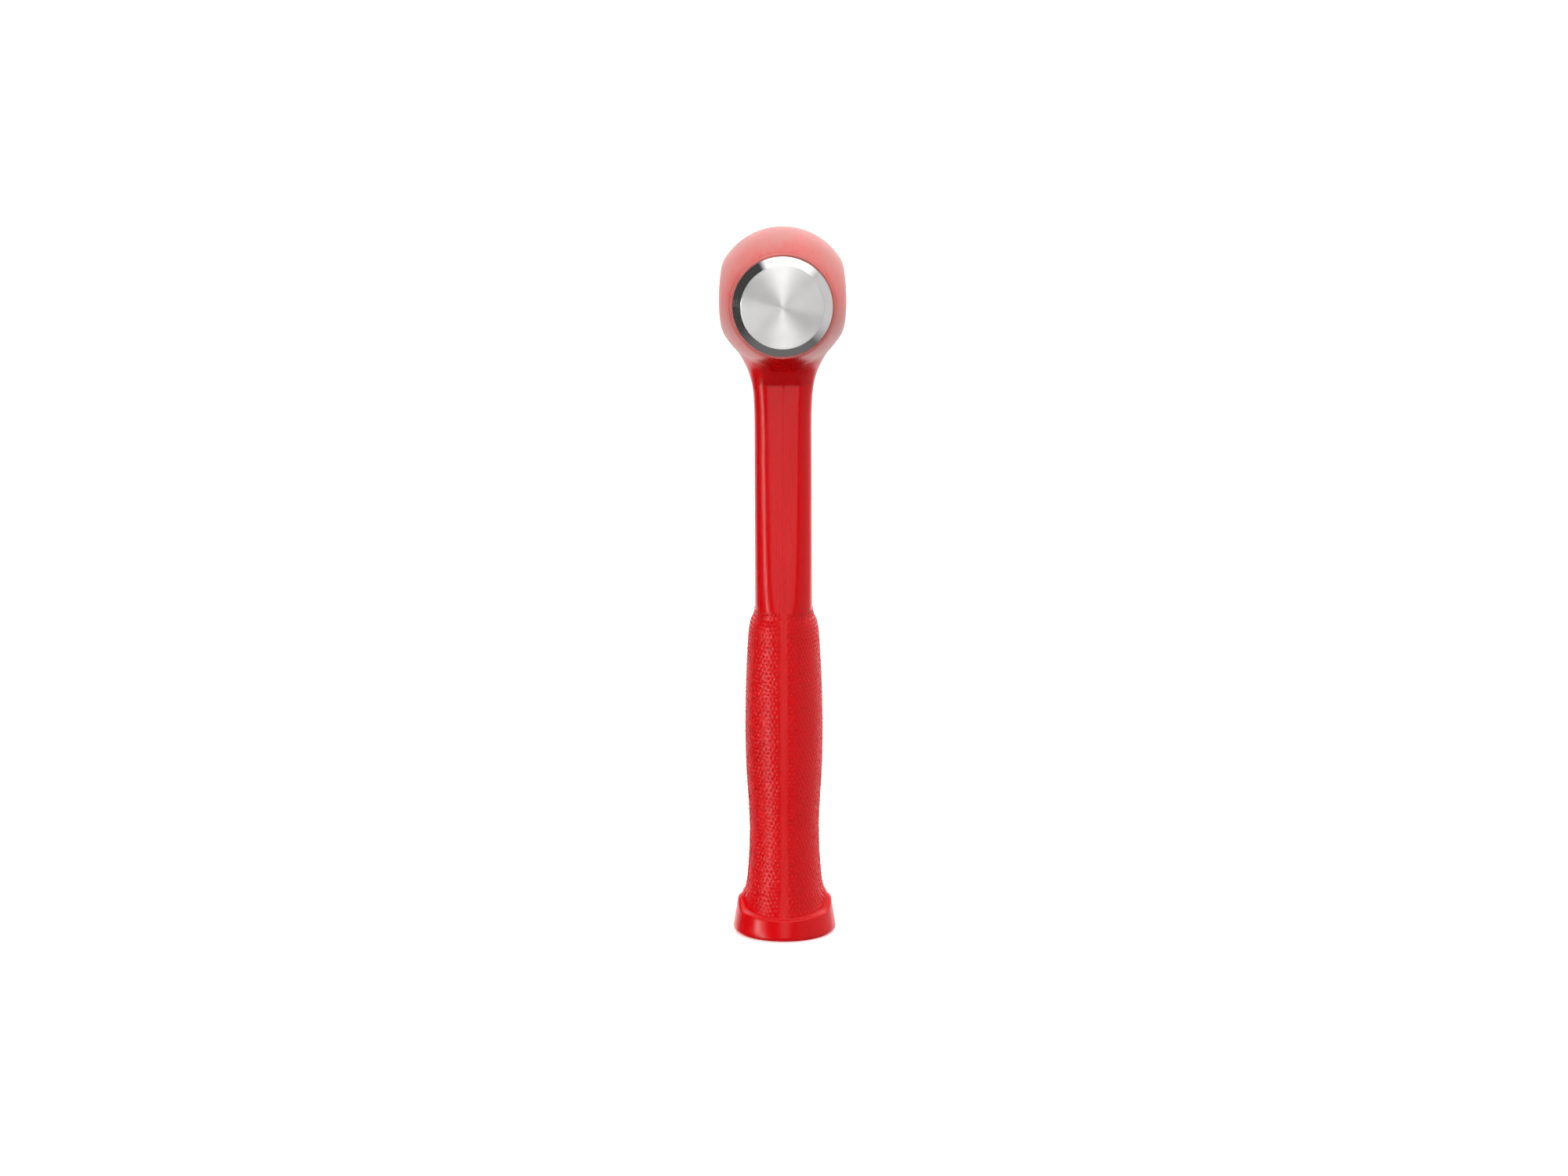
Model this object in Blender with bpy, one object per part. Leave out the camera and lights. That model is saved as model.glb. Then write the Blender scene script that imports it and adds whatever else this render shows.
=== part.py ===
"""Dead-blow ball peen hammer: a steel canister of loose shot and a core rod, cast in one urethane body.

Units are metres and +Z runs up the handle. The origin is the centre of the flat butt. The head axis lies
along Y at HEAD_Z: the flat striking face looks towards -Y and the ball peen towards +Y.
"""

import math

import bmesh
import bpy
import numpy as np
from mathutils import Matrix, Vector

MM = 0.001
GAP = 0.3 * MM
OVERSHOOT = 5.0 * MM

# Head: barrel of the casting, and where its sections stand as shares of its half-length
HEAD_Z = 296.7 * MM
BARREL_R = 31.4 * MM
BARREL_HALF = 42.0 * MM
LIP_R = 23.3 * MM
LIP_ROUND = 0.4 * MM
BARREL_POWER = 2.2
CHEEK_X = 28.7 * MM
CHEEK_CROWN_R = 109.0 * MM
BARREL_SIDES = 36
BARREL_SECTIONS = (1.0, 0.99, 0.9, 0.78, 0.64, 0.48, 0.32, 0.16)

# Head: steel canister, plugs and pins
FACE_Y = -47.0 * MM
FACE_R = 22.225 * MM
FACE_CHAMFER = 3.7 * MM
FACE_CHAMFER_DEPTH = 3.1 * MM
PLUG_BACK = 32.0 * MM
SPIGOT_R = 16.35 * MM
SPIGOT_END = 22.0 * MM
SPIGOT_CHAMFER = 0.8 * MM
TUBE_R = 20.65 * MM
TUBE_BORE_R = SPIGOT_R + GAP
PEEN_SHOULDER_Y = 44.5 * MM
PEEN_SHOULDER_CHAMFER = 1.5 * MM
PEEN_NECK_R = 12.7 * MM
PEEN_NECK_FILLET = 3.9 * MM
PEEN_BALL_R = 15.875 * MM
PLUG_PIN_R = 2.5 * MM
PLUG_PIN_Y = 27.0 * MM
PLUG_PIN_CHAMFER = 0.6 * MM
PEEN_NECK_STEPS = 6
PEEN_BALL_STEPS = 12
STEEL_SIDES = 36

# Handle core: rod, socket, cross pin and the spacers that centre the rod in the mould
ROD_R = 5.556 * MM
ROD_BOTTOM = 30.0 * MM
ROD_TOP = 274.5 * MM
ROD_CHAMFER = 1.0 * MM
SOCKET_R = 10.0 * MM
SOCKET_BOTTOM = 252.0 * MM
SOCKET_TOP = 285.0 * MM
SOCKET_PIN_R = 2.0 * MM
SOCKET_PIN_Z = 262.0 * MM
SOCKET_PIN_CHAMFER = 0.5 * MM
SPACER_R = 9.5 * MM
SPACER_HEIGHT = 5.0 * MM
SPACER_CHAMFER = 0.8 * MM
SPACER_BOTTOMS = {"rod_spacer_upper": 200.0 * MM, "rod_spacer_lower": 60.0 * MM}
CORE_SIDES = 24
PIN_SIDES = 12

# Shot: rows of balls lying in the lower part of the canister, all of them one sliding charge
SHOT_R = 3.5 * MM
SHOT_PITCH = 2 * SHOT_R + GAP
SHOT_ROWS = (2, 3, 4)
SHOT_SLICES = 4

# Handle outline: height, half-width across X, half-depth along Y, corner (1 an ellipse, 0 a rectangle)
HANDLE_STATIONS = [
    (12.0, 19.2, 20.6, 1.00),
    (18.0, 18.8, 19.8, 1.00),
    (22.0, 17.9, 19.2, 1.00),
    (26.0, 17.35, 18.8, 1.00),
    (32.0, 16.85, 18.4, 1.00),
    (40.0, 16.35, 18.0, 1.00),
    (50.0, 16.15, 17.8, 1.00),
    (58.0, 16.4, 18.0, 1.00),
    (66.0, 16.85, 18.5, 1.00),
    (74.0, 17.35, 18.9, 1.00),
    (84.0, 17.8, 19.3, 1.00),
    (99.0, 18.0, 19.5, 1.00),
    (112.0, 17.75, 19.2, 1.00),
    (124.0, 17.35, 18.7, 1.00),
    (134.0, 16.85, 18.1, 1.00),
    (142.0, 16.3, 17.5, 0.98),
    (147.0, 15.5, 16.9, 0.96),
    (151.0, 13.8, 15.9, 0.90),
    (155.0, 13.15, 15.5, 0.72),
    (180.0, 13.1, 15.5, 0.58),
    (210.0, 13.1, 15.5, 0.54),
    (240.0, 13.05, 15.5, 0.52),
    (252.0, 13.4, 15.5, 0.50),
    (258.0, 14.1, 15.7, 0.50),
    (262.0, 15.2, 17.0, 0.60),
    (265.0, 16.4, 19.5, 0.75),
    (268.0, 18.0, 25.0, 0.90),
    (272.0, 20.6, 28.0, 1.00),
    (276.0, 23.6, 30.0, 1.00),
    (280.0, 25.6, 31.0, 1.00),
]
HANDLE_SIDES = 32

# Butt flange: its upper edge has an ear at each side (X), falls off it between these angles off the side,
# and then sweeps down a little to the front and back (Y)
FLANGE_R = 23.9 * MM
FLANGE_DRAFT = 0.16
FLANGE_FOOT_ROUND = 2.5 * MM
FLANGE_TOP_ROUND = 3.0 * MM
FLANGE_TOP_FRONT = 10.2 * MM
FLANGE_TOP_SIDE = 17.8 * MM
FLANGE_SWEEP = 2.0 * MM
FLANGE_SIDE_DEG = (2.0, 30.0)
FLANGE_SEAT = 1.2 * MM
FLANGE_BLEND_TOP = 40.0 * MM

# Colour, metallic and roughness of each material
URETHANE = ("urethane_red", (0.62, 0.012, 0.018), 0.0, 0.42)
TURNED_STEEL = ("turned_steel", (0.62, 0.61, 0.60), 1.0, 0.28)
MILD_STEEL = ("mild_steel", (0.36, 0.36, 0.37), 1.0, 0.45)
PIN_STEEL = ("pin_steel", (0.48, 0.48, 0.50), 1.0, 0.35)
SHOT_STEEL = ("shot_steel", (0.42, 0.42, 0.43), 1.0, 0.3)
SPACER_NYLON = ("spacer_nylon", (0.75, 0.73, 0.68), 0.0, 0.5)


def clear_scene():
    for scene_object in list(bpy.data.objects):
        bpy.data.objects.remove(scene_object, do_unlink=True)


def material(spec):
    name, colour, metallic, roughness = spec
    if name in bpy.data.materials:
        return bpy.data.materials[name]
    made = bpy.data.materials.new(name)
    made.use_nodes = True
    shader = made.node_tree.nodes["Principled BSDF"]
    shader.inputs["Base Color"].default_value = (*colour, 1.0)
    shader.inputs["Metallic"].default_value = metallic
    shader.inputs["Roughness"].default_value = roughness
    made.diffuse_color = (*colour, 1.0)
    return made


def object_from_mesh(name, mesh, spec=None, sharp_deg=40.0):
    made = bpy.data.objects.new(name, mesh)
    bpy.context.collection.objects.link(made)
    if spec:
        mesh.materials.append(material(spec))
    mesh.shade_smooth()
    mesh.set_sharp_from_angle(angle=math.radians(sharp_deg))
    return made


def mesh_from_rings(name, rings):
    """A closed skin through rings of equal length, counter-clockwise about the line that they follow."""
    skin = bmesh.new()
    made = [[skin.verts.new(point) for point in ring] for ring in rings]
    for lower, upper in zip(made, made[1:]):
        for i in range(len(lower)):
            j = (i + 1) % len(lower)
            skin.faces.new((lower[i], lower[j], upper[j], upper[i]))
    skin.faces.new(list(reversed(made[0])))
    skin.faces.new(made[-1])
    bmesh.ops.recalc_face_normals(skin, faces=skin.faces)
    mesh = bpy.data.meshes.new(name)
    skin.to_mesh(mesh)
    skin.free()
    return mesh


def turned_mesh(name, profile, sides, axis="Z"):
    """A solid turned about +Z or +Y from (radius, height) points; radius 0 closes an end in a point."""
    skin = bmesh.new()
    rings = []
    for radius, height in profile:
        if radius == 0.0:
            rings.append([skin.verts.new((0.0, 0.0, height))])
            continue
        ring = []
        for i in range(sides):
            angle = 2.0 * math.pi * (i + 0.5) / sides
            ring.append(skin.verts.new((radius * math.cos(angle), radius * math.sin(angle), height)))
        rings.append(ring)
    for lower, upper in zip(rings, rings[1:]):
        for i in range(sides):
            j = (i + 1) % sides
            if len(lower) == 1:
                skin.faces.new((lower[0], upper[j], upper[i]))
            elif len(upper) == 1:
                skin.faces.new((lower[i], lower[j], upper[0]))
            else:
                skin.faces.new((lower[i], lower[j], upper[j], upper[i]))
    for ring in (rings[0], rings[-1]):
        if len(ring) > 1:
            skin.faces.new(ring)
    if axis == "Y":
        turn = Matrix.Rotation(-math.pi / 2, 3, "X")
        bmesh.ops.rotate(skin, verts=skin.verts, cent=Vector(), matrix=turn)
    bmesh.ops.recalc_face_normals(skin, faces=skin.faces)
    mesh = bpy.data.meshes.new(name)
    skin.to_mesh(mesh)
    skin.free()
    return mesh


def cylinder_profile(radius, bottom, top, chamfer=0.0):
    if not chamfer:
        return [(radius, bottom), (radius, top)]
    return [
        (radius - chamfer, bottom),
        (radius, bottom + chamfer),
        (radius, top - chamfer),
        (radius - chamfer, top),
    ]


def boolean(target, tool, operation):
    cut = target.modifiers.new(f"{operation.lower()}_{tool.name}", "BOOLEAN")
    cut.operation = operation
    cut.solver = "EXACT"
    cut.object = tool
    tool.hide_render = True
    tool.display_type = "WIRE"


def corner_radius(angle, half_width, half_depth, corner):
    """Distance from the handle's axis to a rounded rectangle, in the direction of an angle from +X."""
    across = abs(math.cos(angle)) / half_width
    along = abs(math.sin(angle)) / half_depth
    flat = 1.0 - corner
    if across > 0 and along / across <= flat:
        return 1.0 / across
    if along > 0 and across / along <= flat:
        return 1.0 / along
    square = across**2 + along**2
    half = flat * (across + along)
    rest = 2.0 * flat**2 - corner**2
    return (half + math.sqrt(half**2 - square * rest)) / square


def handle_radius(angle, height):
    heights, widths, depths, corners = zip(*HANDLE_STATIONS)
    at = height / MM
    half_width = float(np.interp(at, heights, widths)) * MM
    half_depth = float(np.interp(at, heights, depths)) * MM
    return corner_radius(angle, half_width, half_depth, float(np.interp(at, heights, corners)))


def flange_top(angle):
    off_side = math.degrees(math.asin(min(abs(math.sin(angle)), 1.0)))
    low, high = FLANGE_SIDE_DEG
    share = min(max((off_side - low) / (high - low), 0.0), 1.0)
    ear = 1.0 - share * share * (3.0 - 2.0 * share)
    swept = FLANGE_TOP_FRONT + FLANGE_SWEEP * math.cos(angle) ** 2
    return swept + (FLANGE_TOP_SIDE - FLANGE_TOP_FRONT - FLANGE_SWEEP) * ear


def handle_column(angle):
    """(radius, height) points up the handle's surface at one angle, equally many at every angle."""
    column = []
    for turn in (0.0, 30.0, 60.0, 90.0):
        inset = FLANGE_FOOT_ROUND * (1.0 - math.sin(math.radians(turn)))
        height = FLANGE_FOOT_ROUND * (1.0 - math.cos(math.radians(turn)))
        column.append((FLANGE_R - inset, height))
    edge = flange_top(angle)
    shoulder = edge - FLANGE_TOP_ROUND
    shoulder_r = FLANGE_R - FLANGE_DRAFT * (shoulder - FLANGE_FOOT_ROUND)
    for turn in (0.0, 30.0, 60.0, 80.0):
        inset = FLANGE_TOP_ROUND * (1.0 - math.cos(math.radians(turn)))
        height = shoulder + FLANGE_TOP_ROUND * math.sin(math.radians(turn))
        column.append((shoulder_r - inset, height))
    foot = edge + FLANGE_SEAT
    for share in (0.0, 0.25, 0.5, 0.75):
        height = foot + share * (FLANGE_BLEND_TOP - foot)
        column.append((handle_radius(angle, height), height))
    for station in HANDLE_STATIONS:
        height = station[0] * MM
        if height >= FLANGE_BLEND_TOP - GAP:
            column.append((handle_radius(angle, height), height))
    return column


def handle_solid():
    angles = [2.0 * math.pi * i / HANDLE_SIDES for i in range(HANDLE_SIDES)]
    columns = [handle_column(angle) for angle in angles]
    rings = []
    for level in range(len(columns[0])):
        ring = []
        for angle, column in zip(angles, columns):
            radius, height = column[level]
            ring.append((radius * math.cos(angle), radius * math.sin(angle), height))
        rings.append(ring)
    return mesh_from_rings("urethane_casting", rings)


def barrel_radius(y):
    return BARREL_R - (BARREL_R - LIP_R) * (abs(y) / BARREL_HALF) ** BARREL_POWER


def barrel_solid():
    """The barrel about the head axis, pulled in to a nearly flat cheek on each side."""
    places = [-BARREL_HALF * share for share in BARREL_SECTIONS]
    places += [0.0] + [-y for y in reversed(places)]
    rings = []
    for y in places:
        radius = barrel_radius(y) - (LIP_ROUND if abs(y) == BARREL_HALF else 0.0)
        ring = []
        for i in range(BARREL_SIDES):
            angle = -2.0 * math.pi * (i + 0.5) / BARREL_SIDES
            x = radius * math.cos(angle)
            rise = radius * math.sin(angle)
            cheek = CHEEK_X - rise**2 / (2.0 * CHEEK_CROWN_R)
            x = math.copysign(min(abs(x), cheek), x)
            ring.append((x, y, HEAD_Z + rise))
        rings.append(ring)
    return object_from_mesh("barrel_tool", mesh_from_rings("barrel_tool", rings))


def on_head_axis(name, profile, sides=STEEL_SIDES, spec=None):
    made = object_from_mesh(name, turned_mesh(name, profile, sides, axis="Y"), spec)
    made.location = (0.0, 0.0, HEAD_Z)
    return made


def upright(name, profile, sides, spec=None, y=0.0):
    made = object_from_mesh(name, turned_mesh(name, profile, sides), spec)
    made.location = (0.0, y, 0.0)
    return made


def casting():
    body = object_from_mesh("urethane_casting", handle_solid(), URETHANE, sharp_deg=50.0)
    boolean(body, barrel_solid(), "UNION")
    mouth = BARREL_HALF + OVERSHOOT
    step = PLUG_BACK - 2.0 * GAP
    bore = [
        (FACE_R + GAP, -mouth),
        (FACE_R + GAP, -step),
        (TUBE_R + GAP, -step),
        (TUBE_R + GAP, step),
        (FACE_R + GAP, step),
        (FACE_R + GAP, mouth),
    ]
    boolean(body, on_head_axis("head_bore_tool", bore), "DIFFERENCE")
    channel = [(ROD_R + GAP, ROD_BOTTOM - GAP)]
    for bottom in sorted(SPACER_BOTTOMS.values()):
        low = bottom - GAP
        high = bottom + SPACER_HEIGHT + GAP
        channel += [(ROD_R + GAP, low), (SPACER_R + GAP, low)]
        channel += [(SPACER_R + GAP, high), (ROD_R + GAP, high)]
    channel += [
        (ROD_R + GAP, SOCKET_BOTTOM - GAP),
        (SOCKET_R + GAP, SOCKET_BOTTOM - GAP),
        (SOCKET_R + GAP, HEAD_Z - TUBE_R / 2.0),
    ]
    boolean(body, upright("core_channel_tool", channel, CORE_SIDES), "DIFFERENCE")


def striking_face():
    profile = [
        (FACE_R - FACE_CHAMFER, FACE_Y),
        (FACE_R, FACE_Y + FACE_CHAMFER_DEPTH),
        (FACE_R, -PLUG_BACK),
        (SPIGOT_R, -PLUG_BACK),
        (SPIGOT_R, -SPIGOT_END - SPIGOT_CHAMFER),
        (SPIGOT_R - SPIGOT_CHAMFER, -SPIGOT_END),
    ]
    return on_head_axis("striking_face", profile, spec=TURNED_STEEL)


def ball_peen():
    """A shouldered plug, a concave neck and the ball, whose arcs run into each other without a corner."""
    fillet_r = PEEN_NECK_R + PEEN_NECK_FILLET
    fillet_y = PEEN_SHOULDER_Y + PEEN_NECK_FILLET
    ball_y = fillet_y + math.sqrt((PEEN_BALL_R + PEEN_NECK_FILLET) ** 2 - fillet_r**2)
    meet = math.atan2(ball_y - fillet_y, fillet_r)
    profile = [
        (SPIGOT_R - SPIGOT_CHAMFER, SPIGOT_END),
        (SPIGOT_R, SPIGOT_END + SPIGOT_CHAMFER),
        (SPIGOT_R, PLUG_BACK),
        (FACE_R, PLUG_BACK),
        (FACE_R, PEEN_SHOULDER_Y - PEEN_SHOULDER_CHAMFER),
        (FACE_R - PEEN_SHOULDER_CHAMFER, PEEN_SHOULDER_Y),
    ]
    for i in range(PEEN_NECK_STEPS + 1):
        turn = -math.pi / 2 + (math.pi / 2 + meet) * i / PEEN_NECK_STEPS
        radius = fillet_r - PEEN_NECK_FILLET * math.cos(turn)
        profile.append((radius, fillet_y + PEEN_NECK_FILLET * math.sin(turn)))
    for i in range(1, PEEN_BALL_STEPS):
        turn = -meet + (math.pi / 2 + meet) * i / PEEN_BALL_STEPS
        profile.append((PEEN_BALL_R * math.cos(turn), ball_y + PEEN_BALL_R * math.sin(turn)))
    profile.append((0.0, ball_y + PEEN_BALL_R))
    return on_head_axis("ball_peen", profile, spec=TURNED_STEEL)


def canister():
    tube_end = PLUG_BACK - GAP
    outside = cylinder_profile(TUBE_R, -tube_end, tube_end)
    tube = on_head_axis("canister_tube", outside, spec=MILD_STEEL)
    reach = PLUG_BACK + OVERSHOOT
    inside = cylinder_profile(TUBE_BORE_R, -reach, reach)
    boolean(tube, on_head_axis("tube_bore_tool", inside), "DIFFERENCE")
    plugs = {"face": (striking_face(), -PLUG_PIN_Y), "peen": (ball_peen(), PLUG_PIN_Y)}
    for name, (plug, y) in plugs.items():
        hole = cylinder_profile(PLUG_PIN_R + GAP, HEAD_Z - 2.0 * TUBE_R, HEAD_Z + 2.0 * TUBE_R)
        drill = upright(f"{name}_pin_hole_tool", hole, PIN_SIDES, y=y)
        boolean(tube, drill, "DIFFERENCE")
        boolean(plug, drill, "DIFFERENCE")
        half = TUBE_R - GAP
        pin = cylinder_profile(PLUG_PIN_R, HEAD_Z - half, HEAD_Z + half, PLUG_PIN_CHAMFER)
        upright(f"{name}_retaining_pin", pin, PIN_SIDES, PIN_STEEL, y=y)


def across_socket(name, profile, spec=None):
    """A solid turned about the line along Y that the socket's cross pin lies on."""
    made = object_from_mesh(name, turned_mesh(name, profile, PIN_SIDES, axis="Y"), spec)
    made.location = (0.0, 0.0, SOCKET_PIN_Z)
    return made


def handle_core():
    rod_profile = cylinder_profile(ROD_R, ROD_BOTTOM, ROD_TOP, ROD_CHAMFER)
    rod = upright("handle_rod", rod_profile, CORE_SIDES, MILD_STEEL)
    socket_profile = cylinder_profile(SOCKET_R, SOCKET_BOTTOM, SOCKET_TOP)
    socket = upright("rod_socket", socket_profile, CORE_SIDES, MILD_STEEL)
    half = PLUG_BACK + OVERSHOOT
    saddle = on_head_axis("saddle_tool", cylinder_profile(TUBE_R + GAP, -half, half))
    boolean(socket, saddle, "DIFFERENCE")
    bore = cylinder_profile(ROD_R + GAP, SOCKET_BOTTOM - OVERSHOOT, SOCKET_TOP + OVERSHOOT)
    boolean(socket, upright("socket_bore_tool", bore, CORE_SIDES), "DIFFERENCE")
    reach = 2.0 * SOCKET_R
    drill = across_socket("cross_hole_tool", cylinder_profile(SOCKET_PIN_R + GAP, -reach, reach))
    boolean(socket, drill, "DIFFERENCE")
    boolean(rod, drill, "DIFFERENCE")
    half = SOCKET_R - GAP
    pin_profile = cylinder_profile(SOCKET_PIN_R, -half, half, SOCKET_PIN_CHAMFER)
    across_socket("socket_cross_pin", pin_profile, PIN_STEEL)
    for name, bottom in SPACER_BOTTOMS.items():
        profile = cylinder_profile(SPACER_R, bottom, bottom + SPACER_HEIGHT, SPACER_CHAMFER)
        spacer = upright(name, profile, CORE_SIDES, SPACER_NYLON)
        hole = cylinder_profile(ROD_R + GAP, bottom - SPACER_HEIGHT, bottom + 2.0 * SPACER_HEIGHT)
        boolean(spacer, upright(f"{name}_bore_tool", hole, CORE_SIDES), "DIFFERENCE")


def shot_charge():
    """Balls in level rows, each nested on the row below, under an empty on the head axis."""
    slider = bpy.data.objects.new("shot_charge_axis", None)
    slider.location = (0.0, 0.0, HEAD_Z)
    bpy.context.collection.objects.link(slider)
    ball = bmesh.new()
    bmesh.ops.create_icosphere(ball, subdivisions=2, radius=SHOT_R)
    mesh = bpy.data.meshes.new("shot")
    ball.to_mesh(mesh)
    ball.free()
    mesh.materials.append(material(SHOT_STEEL))
    mesh.shade_smooth()
    reach = TUBE_BORE_R - SHOT_R - GAP
    lowest = -math.sqrt(reach**2 - (SHOT_PITCH / 2.0) ** 2)
    row_step = SHOT_PITCH * math.sqrt(3.0) / 2.0
    number = 0
    for row, count in enumerate(SHOT_ROWS):
        for place in range(count):
            for cut in range(SHOT_SLICES):
                number += 1
                shot = bpy.data.objects.new(f"shot_{number:02d}", mesh)
                bpy.context.collection.objects.link(shot)
                shot.parent = slider
                shot.location = (
                    (place - (count - 1) / 2.0) * SHOT_PITCH,
                    (cut - (SHOT_SLICES - 1) / 2.0) * SHOT_PITCH,
                    lowest + row * row_step,
                )


def main():
    clear_scene()
    casting()
    canister()
    handle_core()
    shot_charge()
    bpy.context.view_layer.update()


main()
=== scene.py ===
"""Looks of the dead-blow ball peen hammer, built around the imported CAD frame.

The red urethane casting is one closed skin: butt, pebbled grip, shank, neck and barrel. The striking
face and the ball peen are turned steel, and a low bead follows the mould's parting plane up the front
and back of the handle. The pieces inside the casting keep their CAD meshes and get finishes. Everything
is in metres in the CAD's frame: +Z up the handle, the head axis along Y.
"""

import math

import bpy
import numpy as np
from mathutils import Matrix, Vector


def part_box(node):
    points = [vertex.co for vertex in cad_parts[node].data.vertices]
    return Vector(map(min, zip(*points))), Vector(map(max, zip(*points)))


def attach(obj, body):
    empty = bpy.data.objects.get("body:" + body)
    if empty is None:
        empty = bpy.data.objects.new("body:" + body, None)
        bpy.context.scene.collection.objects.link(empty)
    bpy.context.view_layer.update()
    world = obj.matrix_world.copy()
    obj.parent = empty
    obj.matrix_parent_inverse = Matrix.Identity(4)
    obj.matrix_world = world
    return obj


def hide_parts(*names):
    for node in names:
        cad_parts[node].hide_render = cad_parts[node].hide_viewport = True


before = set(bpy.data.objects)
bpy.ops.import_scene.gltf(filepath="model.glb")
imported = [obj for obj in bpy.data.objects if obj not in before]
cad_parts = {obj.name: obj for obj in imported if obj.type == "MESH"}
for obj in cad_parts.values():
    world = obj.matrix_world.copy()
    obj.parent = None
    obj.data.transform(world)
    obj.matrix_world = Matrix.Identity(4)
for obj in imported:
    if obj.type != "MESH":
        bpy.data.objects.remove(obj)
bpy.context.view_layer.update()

MM = 0.001

# Head axis, from the CAD's striking face
face_low, face_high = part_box("striking_face")
HEAD_Z = (face_low[2] + face_high[2]) / 2.0
FACE_Y = face_low[1]

# Barrel of the casting
BARREL_R = 31.4 * MM
BARREL_HALF = 42.0 * MM
BARREL_POWER = 2.2
LIP_R = 23.3 * MM
LIP_ROUND = 0.4 * MM
MOUTH_R = 22.26 * MM
MOUTH_DEPTH = 1.5 * MM
BORE_R = 22.525 * MM
TUBE_BORE_R = 20.95 * MM
BORE_STEP_Y = 31.4 * MM
CHEEK_X = 28.7 * MM
CHEEK_CROWN_R = 109.0 * MM
CHEEK_SOFT = 1.2 * MM

# Handle outline in millimetres: height, half-width across X and half-depth along Y, then the corner's
# share (1 is an ellipse, 0 a rectangle)
HANDLE_STATIONS = [
    (8.0, 19.5, 21.2, 1.00),
    (12.0, 19.2, 20.6, 1.00),
    (18.0, 18.8, 19.8, 1.00),
    (22.0, 17.9, 19.2, 1.00),
    (26.0, 17.35, 18.8, 1.00),
    (32.0, 16.85, 18.4, 1.00),
    (40.0, 16.35, 18.0, 1.00),
    (50.0, 16.15, 17.8, 1.00),
    (58.0, 16.4, 18.0, 1.00),
    (66.0, 16.85, 18.5, 1.00),
    (74.0, 17.35, 18.9, 1.00),
    (84.0, 17.8, 19.3, 1.00),
    (99.0, 18.0, 19.5, 1.00),
    (112.0, 17.75, 19.2, 1.00),
    (124.0, 17.35, 18.7, 1.00),
    (134.0, 16.85, 18.1, 1.00),
    (142.0, 16.3, 17.5, 0.98),
    (147.0, 15.5, 16.9, 0.96),
    (151.0, 13.8, 15.9, 0.90),
    (155.0, 13.15, 15.5, 0.72),
    (180.0, 13.1, 15.5, 0.58),
    (210.0, 13.1, 15.5, 0.54),
    (240.0, 13.05, 15.5, 0.52),
    (252.0, 13.4, 15.5, 0.50),
    (257.8, 14.1, 15.5, 0.50),
    (260.0, 14.6, 16.3, 0.54),
    (262.0, 15.2, 17.3, 0.60),
    (265.0, 16.4, 19.8, 0.75),
    (268.0, 18.0, 25.0, 0.90),
    (272.0, 20.4, 28.0, 1.00),
    (276.0, 23.2, 30.0, 1.00),
    (280.0, 25.2, 31.0, 1.00),
]
NECK_BLEND = 2.0 * MM
NECK_CLOSING = 2.0

# Butt flange: its upper edge is higher at the sides (X) than at the front and back (Y)
FLANGE_R = 23.9 * MM
FLANGE_DRAFT = 0.16
FLANGE_FOOT_ROUND = 2.5 * MM
FLANGE_ROUND_FRONT = 1.2 * MM
FLANGE_ROUND_SIDE = 3.0 * MM
FLANGE_TOP_FRONT = 10.2 * MM
FLANGE_TOP_SIDE = 17.8 * MM
FLANGE_SWEEP = 2.0 * MM
FLANGE_SIDE_DEG = (2.0, 30.0)
FLANGE_FLARE = 1.1 * MM
FLANGE_FLARE_REACH = 2.2 * MM
EDGE_PROUD = 0.3 * MM

# Pebbled grip: rows of domed cells between a curved lower edge and a level upper one
PEBBLES_ROUND = 62
COLUMNS = 2 * PEBBLES_ROUND
PEBBLE_ROWS = 73
GRIP_OFF_EDGE = 0.9 * MM
GRIP_TOP = 153.5 * MM
GRIP_SINK = 0.22 * MM
PEBBLE_HEIGHT = 0.28 * MM
PEBBLE_HEIGHT_SPREAD = (0.75, 1.15)
PEBBLE_SHARE = 0.70
PEBBLE_SHARE_SPREAD = 0.06
PEBBLE_JITTER = 0.20
DOME_MID_SHARE = 0.62
DOME_MID_LIFT = 0.72
GRIP_R = 18.0 * MM
BAND_HALF = 1.7 * MM

# Barrel grid: columns about the head axis, with a rectangular hole below where the neck joins
BARREL_COLUMNS = 120
HOLE_HALF_COLUMNS = 16
HOLE_ROWS = COLUMNS // 2 - 2 * HOLE_HALF_COLUMNS
HOLE_HALF_Y = 26.0 * MM
SHOULDER_ROWS = 10
NECK_START = 262.0 * MM
NECK_RINGS = 9
RELAX_BEYOND = 7.0 * MM
RELAX_BELOW = 8.0 * MM
RELAX_ROUNDS = 40
RELAX_STEP = 0.6

# Heights of the shank's rings, in millimetres
SHANK_HEIGHTS = [154.3, 155.5, 157.5, 160.0, 164.0, 169.0, 175.0]
SHANK_HEIGHTS += list(np.arange(182.0, 250.0, 7.0))
SHANK_HEIGHTS += [250.0, 252.5, 255.0, 256.6, 257.5, 257.8, 258.2, 258.9, 259.8, 260.8, NECK_START / MM]

random = np.random.default_rng(24)


def smooth_step(value, low, high):
    """0 up to low, 1 from high on, and a smooth rise between them."""
    share = np.clip((value - low) / (high - low), 0.0, 1.0)
    return share * share * (3.0 - 2.0 * share)


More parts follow.
